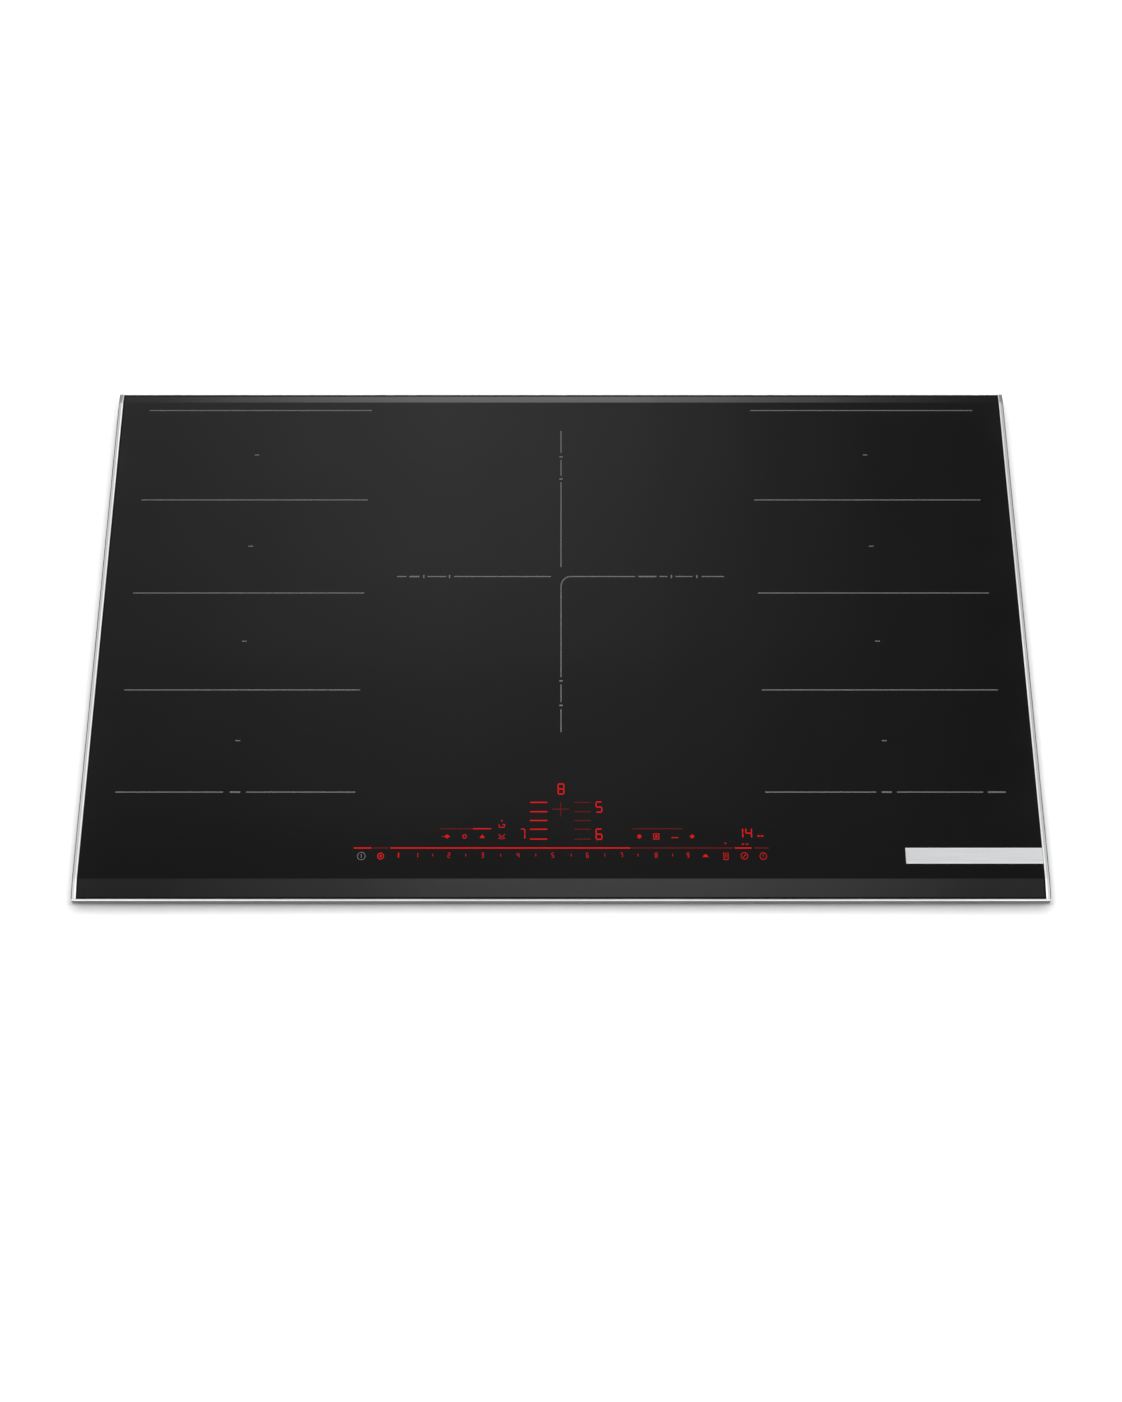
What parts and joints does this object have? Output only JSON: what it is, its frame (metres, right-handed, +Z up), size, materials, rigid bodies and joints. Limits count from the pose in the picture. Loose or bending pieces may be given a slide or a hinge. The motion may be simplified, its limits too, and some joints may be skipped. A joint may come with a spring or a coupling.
{
  "type": "induction cooktop",
  "caption": "Built-in electric induction cooktop with side flex zones, a round centre zone, metal trims, a sheet-steel casing, spinning fans, spring clips and a terminal box",
  "frame": {"origin": "centre of the underside of the casing, midway across the bounding box", "axes": "+X to the right for the person cooking, +Y away from them towards the wall, +Z up out of the glass"},
  "size_m": [0.916, 0.527, 0.051],
  "materials": {
    "glass_ceramic": "black, gloss",
    "trim_metal": "satin stainless",
    "badge_metal": "fine brushed",
    "galvanised": "galvanised sheet",
    "spring_steel": "bright spring strip",
    "aluminium": "mill",
    "foam_seal": "closed-cell foam",
    "black_plastic": "moulded, matt",
    "grey_plastic": "moulded, matt",
    "circuit_board": "solder mask",
    "copper_litz": "enamelled copper",
    "ceramic_fibre": "pressed mat",
    "laminated_iron": "varnished",
    "mica_board": "matt insulating board"
  },
  "bodies": {
    "cooktop": {"glass_plate": "glass_ceramic", "side_trim_left": "trim_metal", "side_trim_right": "trim_metal", "front_trim": "trim_metal", "badge_plate": "badge_metal", "carrier_rail_front": "galvanised", "carrier_rail_rear": "galvanised", "carrier_rail_left": "galvanised", "carrier_rail_right": "galvanised", "seal_front": "foam_seal", "seal_rear": "foam_seal", "seal_left": "foam_seal", "seal_right": "foam_seal", "casing_tray": "galvanised", "fan_grille_left": "black_plastic", "fan_grille_right": "black_plastic", "fan_housing_left": "black_plastic", "fan_housing_right": "black_plastic", "fan_stator_left": "laminated_iron", "fan_stator_right": "laminated_iron", "power_board_left": "circuit_board", "power_board_right": "circuit_board", "heatsink_left": "aluminium", "heatsink_right": "aluminium", "insulation_sheet": "mica_board", "filter_board": "circuit_board", "filter_choke": "copper_litz", "coil_plate": "aluminium", "coil_tray_left": "black_plastic", "coil_tray_right": "black_plastic", "coil_tray_centre": "black_plastic", "heat_mat_left": "ceramic_fibre", "heat_mat_right": "ceramic_fibre", "heat_mat_centre": "ceramic_fibre", "flex_coil_left_1": "copper_litz", "flex_coil_left_2": "copper_litz", "flex_coil_left_3": "copper_litz", "flex_coil_left_4": "copper_litz", "flex_coil_right_1": "copper_litz", "flex_coil_right_2": "copper_litz", "flex_coil_right_3": "copper_litz", "flex_coil_right_4": "copper_litz", "centre_coil_inner": "copper_litz", "centre_coil_middle": "copper_litz", "centre_coil_outer": "copper_litz", "touch_board": "circuit_board", "display_frame": "black_plastic", "terminal_box": "black_plastic", "terminal_block": "grey_plastic", "cable_gland": "black_plastic"},
    "fan_left": {"fan_impeller_left": "grey_plastic"},
    "fan_right": {"fan_impeller_right": "grey_plastic"},
    "clip_left_front": {"spring_clip_left_front": "spring_steel"},
    "clip_left_rear": {"spring_clip_left_rear": "spring_steel"},
    "clip_right_front": {"spring_clip_right_front": "spring_steel"},
    "clip_right_rear": {"spring_clip_right_rear": "spring_steel"},
    "flap": {"terminal_flap": "black_plastic"}
  },
  "joints": [
    {"name": "fan_left_spin", "type": "hinge", "parent": "cooktop", "child": "fan_left", "pos_m": [-0.27, 0.15, 0.015], "axis": [0, 0, 1], "continuous": true},
    {"name": "fan_right_spin", "type": "hinge", "parent": "cooktop", "child": "fan_right", "pos_m": [0.27, 0.15, 0.015], "axis": [0, 0, 1], "continuous": true},
    {"name": "clip_left_front_flex", "type": "hinge", "parent": "cooktop", "child": "clip_left_front", "pos_m": [-0.4349, -0.15, 0.012], "axis": [0, 1, 0], "range_deg": [0, 7], "stiffness_Nm_per_rad": 4},
    {"name": "clip_left_rear_flex", "type": "hinge", "parent": "cooktop", "child": "clip_left_rear", "pos_m": [-0.4349, 0.15, 0.012], "axis": [0, 1, 0], "range_deg": [0, 7], "stiffness_Nm_per_rad": 4},
    {"name": "clip_right_front_flex", "type": "hinge", "parent": "cooktop", "child": "clip_right_front", "pos_m": [0.4349, -0.15, 0.012], "axis": [0, -1, 0], "range_deg": [0, 7], "stiffness_Nm_per_rad": 4},
    {"name": "clip_right_rear_flex", "type": "hinge", "parent": "cooktop", "child": "clip_right_rear", "pos_m": [0.4349, 0.15, 0.012], "axis": [0, -1, 0], "range_deg": [0, 7], "stiffness_Nm_per_rad": 4},
    {"name": "terminal_flap_hinge", "type": "hinge", "parent": "cooktop", "child": "flap", "pos_m": [0.362, 0.242, 0.006], "axis": [-1, 0, 0], "range_deg": [0, 90]}
  ]
}
